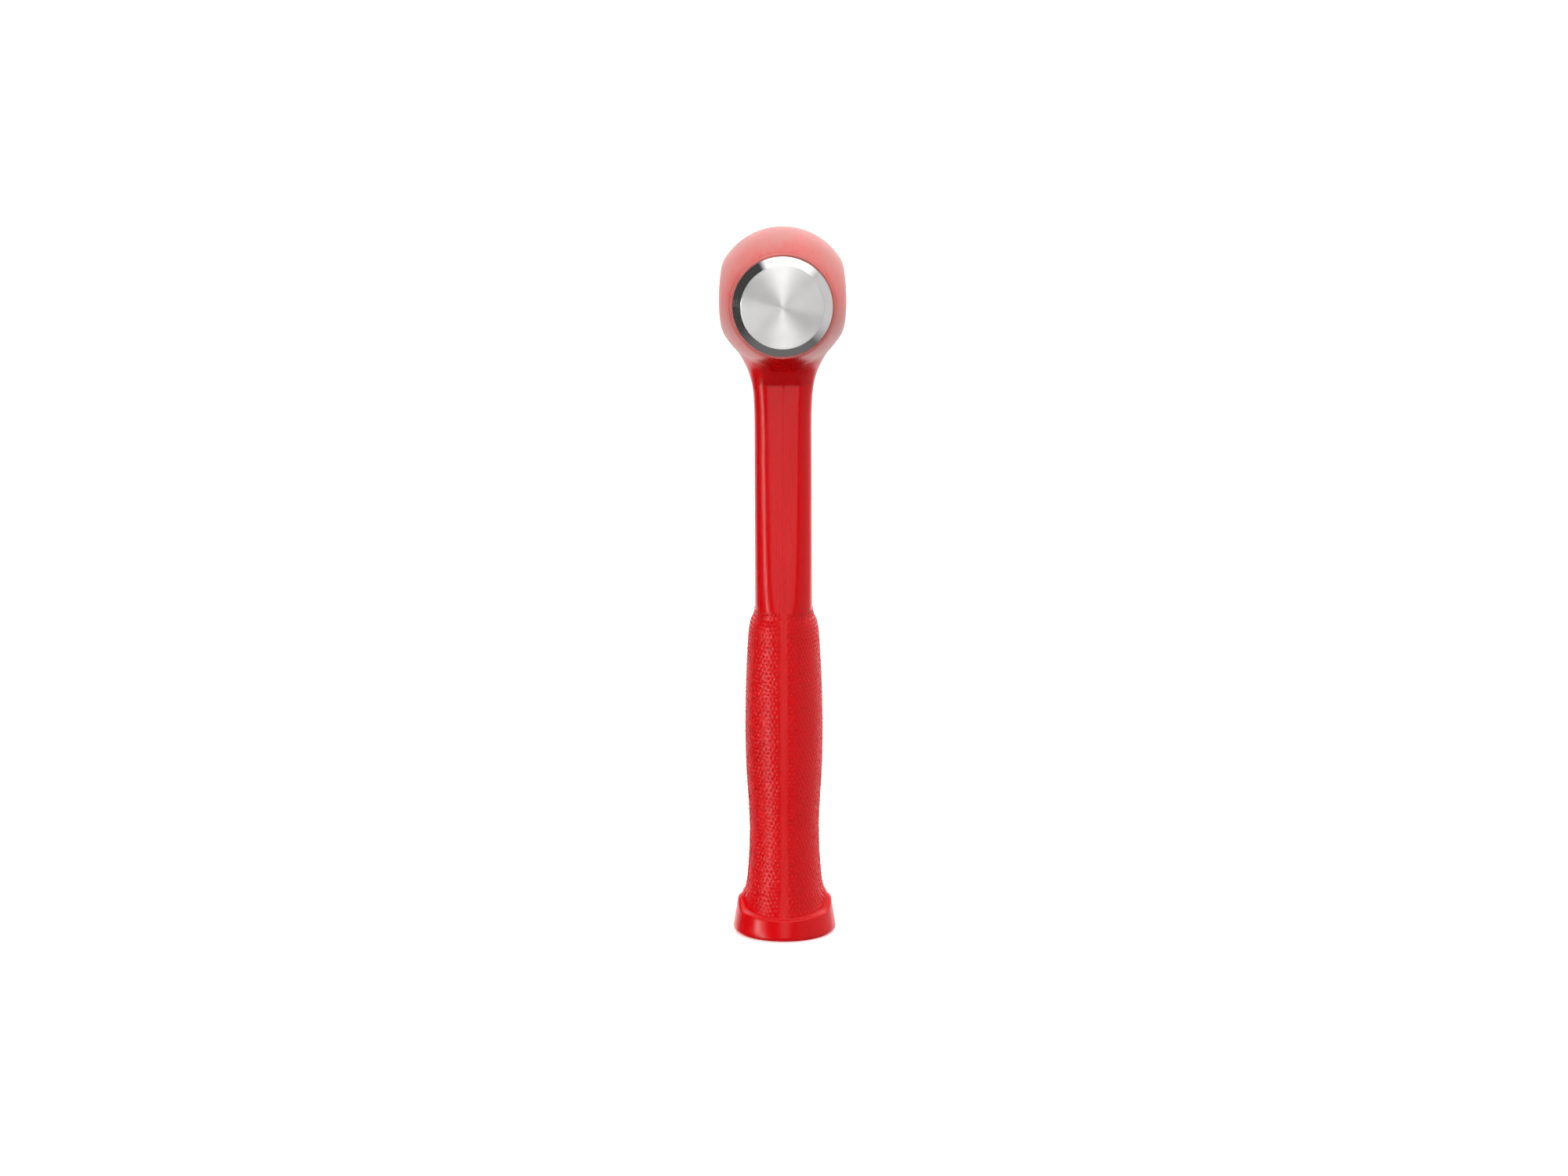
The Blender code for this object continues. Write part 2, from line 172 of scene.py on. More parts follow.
def smooth_curve(at, xs, ys):
    """Cubic Hermite curve through given points, with slopes that never overshoot."""
    xs = np.asarray(xs, float)
    ys = np.asarray(ys, float)
    steps = np.diff(xs)
    rises = np.diff(ys) / steps
    slopes = np.zeros_like(ys)
    same_way = rises[:-1] * rises[1:] > 0
    weight_a = 2.0 * steps[1:] + steps[:-1]
    weight_b = steps[1:] + 2.0 * steps[:-1]
    first = np.where(same_way, rises[:-1], 1.0)
    second = np.where(same_way, rises[1:], 1.0)
    slopes[1:-1] = np.where(same_way, (weight_a + weight_b) / (weight_a / first + weight_b / second), 0.0)
    slopes[0] = rises[0]
    slopes[-1] = rises[-1]
    at = np.clip(at, xs[0], xs[-1])
    i = np.clip(np.searchsorted(xs, at, side="right") - 1, 0, len(xs) - 2)
    width = steps[i]
    t = (at - xs[i]) / width
    near = (1 + 2 * t) * (1 - t) ** 2 * ys[i] + t * (1 - t) ** 2 * width * slopes[i]
    far = t * t * (3 - 2 * t) * ys[i + 1] + t * t * (t - 1) * width * slopes[i + 1]
    return near + far


STATION_Z, STATION_A, STATION_B, STATION_C = (np.array(column) for column in zip(*HANDLE_STATIONS))


def handle_radius(angle, height):
    """Distance from the handle's axis to its surface.

    Each section is a rounded rectangle whose corners grow into an ellipse.
    """
    at = height / MM
    half_width = smooth_curve(at, STATION_Z, STATION_A) * MM
    half_depth = smooth_curve(at, STATION_Z, STATION_B) * MM
    corner = smooth_curve(at, STATION_Z, STATION_C)
    across = np.abs(np.cos(angle)) / half_width
    along = np.abs(np.sin(angle)) / half_depth
    flat = 1.0 - corner
    square = across**2 + along**2
    half = flat * (across + along)
    rest = 2.0 * flat**2 - corner**2
    rounded = (half + np.sqrt(np.maximum(half**2 - square * rest, 0.0))) / square
    side = 1.0 / np.maximum(across, 1e-9)
    front = 1.0 / np.maximum(along, 1e-9)
    radius = np.where(along <= flat * across, side, rounded)
    return np.where(across <= flat * along, front, radius)


def barrel_radius(y):
    """Radius of the barrel, before its cheeks are flattened."""
    return BARREL_R - (BARREL_R - LIP_R) * (np.abs(y) / BARREL_HALF) ** BARREL_POWER


def head_field(points):
    """Signed distance-like field of barrel and neck together; the casting's skin is where it is zero.

    Above its last station the neck closes in quickly, inside the barrel.
    """
    x, y, z = points.T
    rise = z - HEAD_Z
    round_part = np.hypot(x, rise) - barrel_radius(y)
    cheek_part = np.abs(x) - (CHEEK_X - rise**2 / (2.0 * CHEEK_CROWN_R))
    overlap = np.maximum(CHEEK_SOFT - np.abs(round_part - cheek_part), 0.0) / CHEEK_SOFT
    barrel = np.maximum(round_part, cheek_part) + overlap**2 * CHEEK_SOFT / 4.0
    top = STATION_Z[-1] * MM
    closing = NECK_CLOSING * np.maximum(z - top, 0.0)
    neck = np.hypot(x, y) - handle_radius(np.arctan2(y, x), z) + closing
    overlap = np.maximum(NECK_BLEND - np.abs(barrel - neck), 0.0) / NECK_BLEND
    return np.minimum(barrel, neck) - overlap**2 * NECK_BLEND / 4.0


def onto_head(points, steps=4):
    """Points moved along the field's slope until they lie on the skin."""
    reach = 0.02 * MM
    for _ in range(steps):
        slope = np.empty_like(points)
        for axis in range(3):
            shift = np.zeros(3)
            shift[axis] = reach
            slope[:, axis] = (head_field(points + shift) - head_field(points - shift)) / (2.0 * reach)
        size = np.maximum((slope**2).sum(axis=1), 1e-6)
        points = points - slope * (head_field(points) / size)[:, None]
    return points


class Skin:
    """Points and faces of one closed surface, gathered ring by ring.

    Each point also has the share of a pebble's dome that it has climbed.
    """

    def __init__(self):
        self.points = []
        self.dome = []
        self.faces = []
        self.count = 0

    def add(self, points, dome=0.0):
        """Adds points and returns their numbers."""
        points = np.asarray(points, float).reshape(-1, 3)
        first = self.count
        self.points.append(points)
        self.dome.append(np.broadcast_to(np.asarray(dome, float), len(points)))
        self.count += len(points)
        return np.arange(first, self.count)

    def bridge(self, lower, upper):
        """Quads between two closed rings of equal length."""
        quads = np.stack([lower, np.roll(lower, -1), np.roll(upper, -1), upper], axis=-1)
        self.faces.extend(quads.tolist())

    def bridge_all(self, rings):
        """Quads between each ring and the next."""
        for lower, upper in zip(rings, rings[1:]):
            self.bridge(lower, upper)


def polar(radius, angle, height):
    """Points at a distance from the handle's axis; the angle counts from +X towards +Y."""
    return np.stack([radius * np.cos(angle), radius * np.sin(angle), height], axis=-1)


def object_from(name, points, faces, material):
    """A smooth-shaded object on the hammer's body."""
    mesh = bpy.data.meshes.new(name)
    mesh.from_pydata(np.asarray(points).tolist(), [], faces)
    mesh.validate()
    mesh.shade_smooth()
    mesh.materials.append(material)
    made = bpy.data.objects.new(name, mesh)
    bpy.context.collection.objects.link(made)
    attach(made, "hammer")
    return made


def side_share(angles):
    """1 at the sides of the flange, 0 at its front and back."""
    off_side = np.degrees(np.arcsin(np.abs(np.sin(angles))))
    return 1.0 - smooth_step(off_side, *FLANGE_SIDE_DEG)


def flange_edge(angles):
    """Height of the flange's upper edge."""
    swept = FLANGE_TOP_FRONT + FLANGE_SWEEP * np.cos(angles) ** 2
    return swept + (FLANGE_TOP_SIDE - FLANGE_TOP_FRONT - FLANGE_SWEEP) * side_share(angles)


def flare(angles, heights):
    """How far the handle spreads at the sides as it runs into the flange."""
    above = np.maximum(heights - flange_edge(angles), 0.0)
    return FLANGE_FLARE * side_share(angles) * np.exp(-above / FLANGE_FLARE_REACH)


def butt_rings(skin, angles):
    """Rings across the underside, round the flange's foot and side, to just above its edge."""
    edge = flange_edge(angles)
    top_round = FLANGE_ROUND_FRONT + (FLANGE_ROUND_SIDE - FLANGE_ROUND_FRONT) * side_share(angles)
    level = np.zeros_like(angles)
    foot_r = FLANGE_R - FLANGE_FOOT_ROUND
    rings = [skin.add(polar(foot_r * share, angles, level)) for share in (0.35, 0.7, 0.9, 0.98)]
    for turn in np.radians(np.linspace(0.0, 90.0, 8)):
        radius = foot_r + FLANGE_FOOT_ROUND * math.sin(turn)
        height = FLANGE_FOOT_ROUND * (1.0 - math.cos(turn))
        rings.append(skin.add(polar(radius, angles, level + height)))
    shoulder = edge - top_round
    for share in (0.33, 0.67, 0.97):
        height = FLANGE_FOOT_ROUND + share * (shoulder - FLANGE_FOOT_ROUND)
        radius = FLANGE_R - FLANGE_DRAFT * (height - FLANGE_FOOT_ROUND)
        rings.append(skin.add(polar(radius, angles, height)))
    shoulder_r = FLANGE_R - FLANGE_DRAFT * (shoulder - FLANGE_FOOT_ROUND)
    for turn in np.radians(np.linspace(8.0, 78.0, 8)):
        height = shoulder + top_round * math.sin(turn)
        radius = shoulder_r - top_round * (1.0 - math.cos(turn))
        rings.append(skin.add(polar(np.maximum(radius, handle_radius(angles, height)), angles, height)))
    for lift in (0.25 * MM, 0.6 * MM):
        height = edge + lift
        proud = EDGE_PROUD * (1.0 - lift / GRIP_OFF_EDGE)
        radius = handle_radius(angles, height) + flare(angles, height) + proud
        rings.append(skin.add(polar(radius, angles, height)))
    return rings


def grip_point(column, row, lift):
    """A point of the grip from its place in the pebble lattice, lifted off the texture's ground."""
    angle = 2.0 * math.pi * column / COLUMNS
    low = flange_edge(angle) + GRIP_OFF_EDGE
    height = low + row / PEBBLE_ROWS * (GRIP_TOP - low)
    ends = smooth_step(row, 0.0, 1.5) * smooth_step(PEBBLE_ROWS - row, 0.0, 1.5)
    radius = handle_radius(angle, height) + flare(angle, height) - GRIP_SINK * ends + lift
    return polar(radius, angle, height)


def grip_rings(skin):
    """The pebbled grip, a lattice of irregular six-sided cells that each carry a dome.

    The cells at the front and back stay flat and make a smooth band. The first and last rings are
    returned, to be joined to their neighbours.
    """
    columns = np.arange(COLUMNS)
    ring_row = np.arange(PEBBLE_ROWS + 1)[:, None]
    up = np.where((columns[None, :] - ring_row) % 2 == 0, -1.0, 1.0)
    inside = ((ring_row > 0) & (ring_row < PEBBLE_ROWS)).astype(float)
    corner_column = columns[None, :] + 2.0 * PEBBLE_JITTER * inside * random.uniform(-1, 1, up.shape)
    corner_row = ring_row + up / 6.0 * inside + PEBBLE_JITTER * inside * random.uniform(-1, 1, up.shape)
    corners = [skin.add(grip_point(*spot, 0.0)) for spot in zip(corner_column, corner_row)]
    corner_id = np.array(corners)

    row = np.repeat(np.arange(PEBBLE_ROWS), PEBBLES_ROUND)
    middle = 2 * np.tile(np.arange(PEBBLES_ROUND), PEBBLE_ROWS) + row % 2
    around_row = row[:, None] + np.array([0, 0, 1, 1, 1, 0])
    around_column = middle[:, None] + np.array([0, 1, 1, 0, -1, -1])
    ring_id = corner_id[around_row, around_column % COLUMNS]
    at_column = corner_column[around_row, around_column % COLUMNS]
    at_column += COLUMNS * np.round((around_column - at_column) / COLUMNS)
    at_row = corner_row[around_row, around_column % COLUMNS]
    centre_column = at_column.mean(axis=1)
    centre_row = at_row.mean(axis=1)

    angle = 2.0 * math.pi * centre_column / COLUMNS
    offset = np.abs(np.cos(angle)) * GRIP_R
    rise = PEBBLE_HEIGHT * random.uniform(*PEBBLE_HEIGHT_SPREAD, len(row))
    foot_share = PEBBLE_SHARE + random.uniform(-PEBBLE_SHARE_SPREAD, PEBBLE_SHARE_SPREAD, len(row))
    foot_share = foot_share[:, None]
    rise *= smooth_step(offset, BAND_HALF - 0.3 * MM, BAND_HALF + 0.5 * MM)
    ids = []
    for share, lift_share in ((foot_share, 0.0), (foot_share * DOME_MID_SHARE, DOME_MID_LIFT)):
        column = centre_column[:, None] + share * (at_column - centre_column[:, None])
        level = centre_row[:, None] + share * (at_row - centre_row[:, None])
        lift = np.repeat((rise * lift_share)[:, None], 6, axis=1)
        dome = np.repeat(np.where(rise > 0, lift_share, 0.0), 6)
        made = skin.add(grip_point(column, level, lift), dome)
        ids.append(made.reshape(-1, 6))
    foot_id, mid_id = ids
    top_id = skin.add(grip_point(centre_column, centre_row, rise), (rise > 0).astype(float))
    for outer, inner in ((ring_id, foot_id), (foot_id, mid_id)):
        quads = np.stack([outer, np.roll(outer, -1, axis=1), np.roll(inner, -1, axis=1), inner], axis=-1)
        skin.faces.extend(quads.reshape(-1, 4).tolist())
    top = np.repeat(top_id[:, None], 6, axis=1)
    triangles = np.stack([mid_id, np.roll(mid_id, -1, axis=1), top], axis=-1)
    skin.faces.extend(triangles.reshape(-1, 3).tolist())
    return corners[0], corners[-1]


def shank_rings(skin, angles):
    """Level rings up the smooth shank, closer together where its outline turns."""
    rings = []
    for height in np.array(SHANK_HEIGHTS) * MM:
        level = np.full_like(angles, height)
        rings.append(skin.add(polar(handle_radius(angles, level), angles, level)))
    return rings


def barrel_rows():
    """(y, radius) of each ring about the head axis, and the first row of the neck's hole.

    The rows go from mid-bore out to the front lip, over the barrel and back in from the rear lip.
    Where the radius is None, it comes from barrel_radius.
    """
    half = BARREL_HALF
    inner = [(0.0, TUBE_BORE_R), (-BORE_STEP_Y, TUBE_BORE_R), (-BORE_STEP_Y, BORE_R)]
    inner += [(-half + MOUTH_DEPTH + 0.5 * MM, BORE_R), (-half + MOUTH_DEPTH, MOUTH_R)]
    inner += [(-half + 0.25 * MM, MOUTH_R), (-half + 0.05 * MM, MOUTH_R + 0.08 * MM)]
    inner.append((-half, MOUTH_R + 0.25 * MM))
    for turn in np.radians([0.0, 30.0, 60.0, 88.0]):
        inner.append((-half + LIP_ROUND * (1 - math.cos(turn)), LIP_R - LIP_ROUND * (1 - math.sin(turn))))
    reach = np.linspace(half - 1.0 * MM, HOLE_HALF_Y, SHOULDER_ROWS)
    outer = [(-y, None) for y in reach]
    outer += [(y, None) for y in np.linspace(-HOLE_HALF_Y, HOLE_HALF_Y, HOLE_ROWS + 1)[1:]]
    outer += [(y, None) for y in reach[::-1][1:]]
    mirrored = [(-y, radius) for y, radius in reversed(inner[1:])]
    return inner + outer + mirrored, len(inner) + SHOULDER_ROWS - 1


def head_rings(skin, neck_ring):
    """The barrel as a grid about the head axis, closed through its bore, and the neck's rings below it."""
    rows, first_hole_row = barrel_rows()
    last_hole_row = first_hole_row + HOLE_ROWS
    steps = np.arange(BARREL_COLUMNS)
    turn = -math.pi / 2.0 + 2.0 * math.pi * steps / BARREL_COLUMNS
    column = (steps + BARREL_COLUMNS // 2) % BARREL_COLUMNS - BARREL_COLUMNS // 2
    in_hole = np.abs(column) < HOLE_HALF_COLUMNS
    ids = np.full((len(rows), BARREL_COLUMNS), -1)
    outer_ids = []
    for i, (y, radius) in enumerate(rows):
        shown = ~in_hole if first_hole_row < i < last_hole_row else np.ones_like(in_hole)
        reach = barrel_radius(y) if radius is None else radius
        level = np.full_like(turn, y)
        ring = np.stack([reach * np.cos(turn), level, HEAD_Z + reach * np.sin(turn)], axis=-1)
        ids[i, shown] = skin.add(ring[shown])
        if radius is None:
            outer_ids.append(ids[i, shown])
    for i in range(len(rows)):
        j = (i + 1) % len(rows)
        quads = np.stack([ids[i], ids[j], np.roll(ids[j], -1), np.roll(ids[i], -1)], axis=-1)
        if first_hole_row <= i < last_hole_row:
            gone = (column >= -HOLE_HALF_COLUMNS) & (column < HOLE_HALF_COLUMNS)
            quads = quads[~gone]
        skin.faces.extend(quads.tolist())

    side = HOLE_HALF_COLUMNS
    down = np.arange(first_hole_row, last_hole_row)
    across = np.arange(-side, side)
    loop = np.concatenate(
        [
            ids[down, side],
            ids[last_hole_row, -across % BARREL_COLUMNS],
            ids[down[::-1] + 1, -side % BARREL_COLUMNS],
            ids[first_hole_row, across % BARREL_COLUMNS],
        ]
    )
    loop = np.roll(loop, -HOLE_ROWS // 2)

    points = np.concatenate(skin.points)
    outer = np.concatenate(outer_ids)
    points[outer] = onto_head(points[outer])
    start = points[neck_ring]
    end = points[loop]
    rings = [neck_ring]
    for i in range(1, NECK_RINGS + 1):
        share = i / (NECK_RINGS + 1)
        rings.append(skin.add(start + share * (end - start)))
    skin.bridge_all(rings + [loop])
    fresh = np.concatenate(rings[1:])
    points = np.concatenate([points, np.concatenate(skin.points[-NECK_RINGS:])])
    points[fresh] = onto_head(points[fresh], steps=8)
    near = np.abs(points[outer][:, 1]) < HOLE_HALF_Y + RELAX_BEYOND
    near &= points[outer][:, 2] < HEAD_Z - RELAX_BELOW
    relax(points, skin.faces, np.concatenate([fresh, outer[near]]), RELAX_ROUNDS)
    skin.points = [points]


def relax(points, faces, free, rounds):
    """Evens out the spacing of the free points along the skin, keeping them on it."""
    quads = np.array([face for face in faces if len(face) == 4])
    touched = np.isin(quads, free).any(axis=1)
    quads = quads[touched]
    edges = np.concatenate([quads[:, [i, (i + 1) % 4]] for i in range(4)])
    edges = np.unique(np.sort(edges, axis=1), axis=0)
    both = np.concatenate([edges, edges[:, ::-1]])
    number = np.bincount(both[:, 0], minlength=len(points))[free]
    for _ in range(rounds):
        total = np.zeros_like(points)
        np.add.at(total, both[:, 0], points[both[:, 1]])
        mean = total[free] / number[:, None]
        points[free] = onto_head(points[free] + RELAX_STEP * (mean - points[free]), steps=1)
    points[free] = onto_head(points[free], steps=3)


def casting_skin(material):
    """The urethane casting as one closed mesh, with an attribute that marks its pebbles."""
    angles = 2.0 * math.pi * np.arange(COLUMNS) / COLUMNS
    skin = Skin()
    below = butt_rings(skin, angles)
    centre = skin.add([0.0, 0.0, 0.0])[0]
    first = below[0]
    skin.faces.extend([[centre, int(first[(i + 1) % COLUMNS]), int(first[i])] for i in range(COLUMNS)])
    grip_first, grip_last = grip_rings(skin)
    skin.bridge_all(below + [grip_first])
    above = shank_rings(skin, angles)
    skin.bridge_all([grip_last] + above)
    head_rings(skin, above[-1])
    points = np.concatenate(skin.points)
    casting = object_from("casting_skin", points, skin.faces, material)
    pebble = casting.data.attributes.new("pebble", "FLOAT", "POINT")
    pebble.data.foreach_set("value", np.concatenate(skin.dome).astype(np.float32))
    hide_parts("urethane_casting")


def turned(name, profile, sides, material, node):
    """A piece turned about the head axis from (radius, y) points, from one end to the other."""
    turn = 2.0 * math.pi * np.arange(sides) / sides
    skin = Skin()
    rings = []
    for radius, y in profile[1:-1]:
        level = np.full_like(turn, y)
        ring = np.stack([radius * np.sin(turn), level, HEAD_Z + radius * np.cos(turn)], axis=-1)
        rings.append(skin.add(ring))
    skin.bridge_all(rings)
    start = skin.add([0.0, profile[0][1], HEAD_Z])[0]
    end = skin.add([0.0, profile[-1][1], HEAD_Z])[0]
    for i in range(sides):
        j = (i + 1) % sides
        skin.faces.append([int(start), int(rings[0][j]), int(rings[0][i])])
        skin.faces.append([int(end), int(rings[-1][i]), int(rings[-1][j])])
    piece = object_from(name, np.concatenate(skin.points), skin.faces, material)
    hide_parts(node)


def arc(centre, radius, start_deg, end_deg, steps):
    """(radius, y) points along an arc; degrees count from the outward radius towards +Y."""
    turns = np.radians(np.linspace(start_deg, end_deg, steps))
    return [(centre[0] + radius * math.cos(t), centre[1] + radius * math.sin(t)) for t in turns]


# Striking face and ball peen
FACE_R = 22.225 * MM
FACE_CHAMFER = 3.7 * MM
FACE_CHAMFER_DEPTH = 3.1 * MM
FACE_CROWN_R = 300.0 * MM
EDGE_SOFT = 0.06 * MM
SPIGOT_R = 16.35 * MM
SPIGOT_END = 22.0 * MM
SPIGOT_CHAMFER = 0.8 * MM
PLUG_BACK = 32.0 * MM
PEEN_SHOULDER_Y = 44.5 * MM
PEEN_SHOULDER_CHAMFER = 1.5 * MM
PEEN_NECK_R = 12.7 * MM
PEEN_NECK_FILLET = 3.9 * MM
PEEN_BALL_R = 15.875 * MM
FACE_SIDES = 192
PEEN_SIDES = 160


def spigot_profile():
    """(radius, y) of a plug's spigot, from the axis at its inner end out to the plug's back."""
    chamfered = [(SPIGOT_R - SPIGOT_CHAMFER, SPIGOT_END), (SPIGOT_R, SPIGOT_END + SPIGOT_CHAMFER)]
    return [(0.0, SPIGOT_END)] + chamfered + [(SPIGOT_R, PLUG_BACK - 0.01 * MM)]


def striking_face(material):
    """The steel plug at the front: crowned flat, chamfer with softened edges, and spigot."""
    flat_r = FACE_R - FACE_CHAMFER
    turn = math.degrees(math.atan2(FACE_CHAMFER_DEPTH, FACE_CHAMFER))
    inner = EDGE_SOFT * math.tan(math.radians(turn / 2.0))
    outer = EDGE_SOFT * math.tan(math.radians(45.0 - turn / 2.0))
    crown = flat_r**2 / (2.0 * FACE_CROWN_R)
    shares = (0.0, 0.1, 0.25, 0.4, 0.55, 0.7, 0.85, 0.96)
    profile = [(flat_r * share, FACE_Y + crown * share**2) for share in shares]
    profile += arc((flat_r - inner, FACE_Y + crown + EDGE_SOFT), EDGE_SOFT, -86, turn - 90, 4)
    low = FACE_Y + crown + FACE_CHAMFER_DEPTH
    rim = arc((FACE_R - EDGE_SOFT, low + outer), EDGE_SOFT, turn - 90, 0, 4)
    start, end = np.array(profile[-1]), np.array(rim[0])
    profile += [tuple(start + share * (end - start)) for share in (0.04, 0.5, 0.96)] + rim
    profile += [(FACE_R, low + 2.0 * MM), (FACE_R, -PLUG_BACK)]
    profile += [(radius, -y) for radius, y in reversed(spigot_profile())]
    turned("striking_face_turned", profile, FACE_SIDES, material, "striking_face")


def ball_peen(material):
    """The steel plug at the back: spigot, shoulder, concave neck and ball."""
    fillet_r = PEEN_NECK_R + PEEN_NECK_FILLET
    fillet_y = PEEN_SHOULDER_Y + PEEN_NECK_FILLET
    ball_y = fillet_y + math.sqrt((PEEN_BALL_R + PEEN_NECK_FILLET) ** 2 - fillet_r**2)
    meet = math.degrees(math.atan2(ball_y - fillet_y, fillet_r))
    profile = spigot_profile() + [(FACE_R, PLUG_BACK)]
    chamfer = PEEN_SHOULDER_CHAMFER
    profile += arc((FACE_R - EDGE_SOFT, PEEN_SHOULDER_Y - chamfer), EDGE_SOFT, 0, 45, 3)
    profile += arc((FACE_R - chamfer, PEEN_SHOULDER_Y - EDGE_SOFT), EDGE_SOFT, 45, 90, 3)
    profile += arc((fillet_r, fillet_y), PEEN_NECK_FILLET, 270, 180 - meet, 14)
    profile += arc((0.0, ball_y), PEEN_BALL_R, -meet, 88, 48)[1:]
    profile.append((0.0, ball_y + PEEN_BALL_R))
    turned("ball_peen_turned", profile, PEEN_SIDES, material, "ball_peen")


# Bead on the parting line. Its section, in millimetres across the line and above the skin, goes over the
# top from one foot to the other, and the whole section drops where it fades at either end.
BEAD_HALF = [(0.8, -0.3), (0.8, -0.06), (0.5, -0.012), (0.25, 0.012)]
BEAD_SECTION = [(-across, lift) for across, lift in BEAD_HALF] + BEAD_HALF[::-1]
BEAD_END_DROP = 0.1
BEAD_FADE_RINGS = 3.0
BEAD_STEP = 1.2 * MM
BEAD_OFF_LIP = 1.5 * MM
BEAD_HEIGHTS = np.concatenate([np.arange(3.0, 9.0, 2.0), np.arange(11.0, NECK_START / MM, 2.5)]) * MM


def bead_path(side):
    """The parting line up one side (-1 front, 1 back) of the handle, then along the barrel."""
    angle = np.array(side * math.pi / 2.0)
    points = []
    for height in BEAD_HEIGHTS:
        radius = float(handle_radius(angle, np.array(height)))
        if height < FLANGE_TOP_FRONT:
            radius = FLANGE_R - FLANGE_DRAFT * (height - FLANGE_FOOT_ROUND)
        elif height < GRIP_TOP:
            radius -= GRIP_SINK
        points.append((0.0, side * radius, height))
    point = np.array([points[-1]])
    ahead = np.array([[0.0, 0.0, 1.0]])
    while abs(point[0, 1]) < BARREL_HALF - BEAD_OFF_LIP:
        moved = onto_head(point + BEAD_STEP * ahead)
        ahead = (moved - point) / np.linalg.norm(moved - point)
        point = moved
        points.append(tuple(point[0]))
    return np.array(points)


def parting_line(name, side, material):
    """A low rounded bead along the mould's parting plane, on one side (-1 front, 1 back) of the handle."""
    path = bead_path(side)
    along = np.gradient(path, axis=0)
    along /= np.linalg.norm(along, axis=1)[:, None]
    out = side * np.stack([np.zeros(len(path)), along[:, 2], -along[:, 1]], axis=1)
    steps = np.arange(len(path))
    fade = np.minimum(1.0, np.minimum(steps, steps[::-1]) / BEAD_FADE_RINGS)
    skin = Skin()
    rings = []
    for point, outward, strength in zip(path, out, fade):
        drop = BEAD_END_DROP * (1 - strength)
        ring = [
            point + outward * (lift - drop) * MM + np.array([across * MM, 0, 0])
            for across, lift in BEAD_SECTION
        ]
        rings.append(skin.add(ring))
    skin.bridge_all(rings)
    skin.faces.append([int(i) for i in reversed(rings[0])])
    skin.faces.append([int(i) for i in rings[-1]])
    piece = object_from(name, np.concatenate(skin.points), skin.faces, material)


def wire(tree, socket, value):
    """Links a node's output to the socket, or sets the socket's own value."""
    if isinstance(value, bpy.types.NodeSocket):
        tree.links.new(value, socket)
    else:
        socket.default_value = value


def maths(tree, operation, *values):
    """A maths node on values that are numbers or other nodes' outputs."""
    node = tree.nodes.new("ShaderNodeMath")
    node.operation = operation
    for socket, value in zip(node.inputs, values):
        wire(tree, socket, value)
    return node.outputs[0]


def place(tree, stretch):
    """The point being shaded, in object coordinates that are metres, stretched along each axis."""
    coordinates = tree.nodes.new("ShaderNodeTexCoord").outputs["Object"]
    mapping = tree.nodes.new("ShaderNodeMapping")
    wire(tree, mapping.inputs["Vector"], coordinates)
    mapping.inputs["Scale"].default_value = stretch
    return mapping.outputs[0]


def noise(tree, stretch, scale, detail, roughness=0.6):
    """Noise between 0 and 1 that keeps mostly between 0.3 and 0.7."""
    node = tree.nodes.new("ShaderNodeTexNoise")
    wire(tree, node.inputs["Vector"], place(tree, stretch))
    node.inputs["Scale"].default_value = scale
    node.inputs["Detail"].default_value = detail
    node.inputs["Roughness"].default_value = roughness
    return node.outputs[0]


def spread(tree, value, low, high, out_low, out_high, smooth=False):
    """Maps low..high to out_low..out_high, clamped at both ends."""
    node = tree.nodes.new("ShaderNodeMapRange")
    node.interpolation_type = "SMOOTHSTEP" if smooth else "LINEAR"
    for socket, given in zip(node.inputs, (value, low, high, out_low, out_high)):
        wire(tree, socket, given)
    return node.outputs[0]


def over_noise(tree, value, out_low, out_high):
    """Maps the usual range of a noise to out_low..out_high."""
    return spread(tree, value, 0.3, 0.7, out_low, out_high)


def blend_colours(tree, share, first, second):
    """A mix of two colours; in a mix node they are inputs 6 and 7 and output 2."""
    node = tree.nodes.new("ShaderNodeMix")
    node.data_type = "RGBA"
    wire(tree, node.inputs[0], share)
    wire(tree, node.inputs[6], first)
    wire(tree, node.inputs[7], second)
    return node.outputs[2]


def bump(tree, height, distance, normal=None):
    """A bumped normal, on top of another one if that is given."""
    node = tree.nodes.new("ShaderNodeBump")
    node.inputs["Strength"].default_value = 1.0
    node.inputs["Distance"].default_value = distance
    wire(tree, node.inputs["Height"], height)
    if normal is not None:
        wire(tree, node.inputs["Normal"], normal)
    return node.outputs[0]


def new_material(name):
    """A material with its node tree and its shader."""
    made = bpy.data.materials.new(name)
    made.use_nodes = True
    return made, made.node_tree, made.node_tree.nodes["Principled BSDF"]


# Colours: the urethane's reds, then steel, nylon and floor
RED = (0.95, 0.0008, 0.0045, 1.0)
RED_DEEP = (0.80, 0.0002, 0.0025, 1.0)
# Painted shade: a darker red for the fillet under the head, where the head shades it
RED_PAINTED_SHADE = (0.64, 0.0001, 0.0020, 1.0)
# A paler red at the lips of the barrel
RED_PALE_LIP = (0.80, 0.22, 0.19, 1.0)
# Partly painted sheen: a pale red over the head, real scuffing plus a painted sheen towards the barrel's
# widest part
RED_HAZE_AND_SHEEN = (0.70, 0.170, 0.138, 1.0)
STEEL_DARK = (0.83, 0.82, 0.815, 1.0)
STEEL_LIGHT = (0.91, 0.90, 0.895, 1.0)
STEEL_CLOUDED = (0.76, 0.75, 0.74, 1.0)
STEEL_STAINED = (0.24, 0.21, 0.19, 1.0)
NYLON_DARK = (0.74, 0.71, 0.65, 1.0)
NYLON_LIGHT = (0.80, 0.78, 0.73, 1.0)
FLOOR_DARK = (0.93, 0.93, 0.93, 1.0)
FLOOR_LIGHT = (0.95, 0.95, 0.95, 1.0)
WHITE = (1.0, 1.0, 1.0, 1.0)
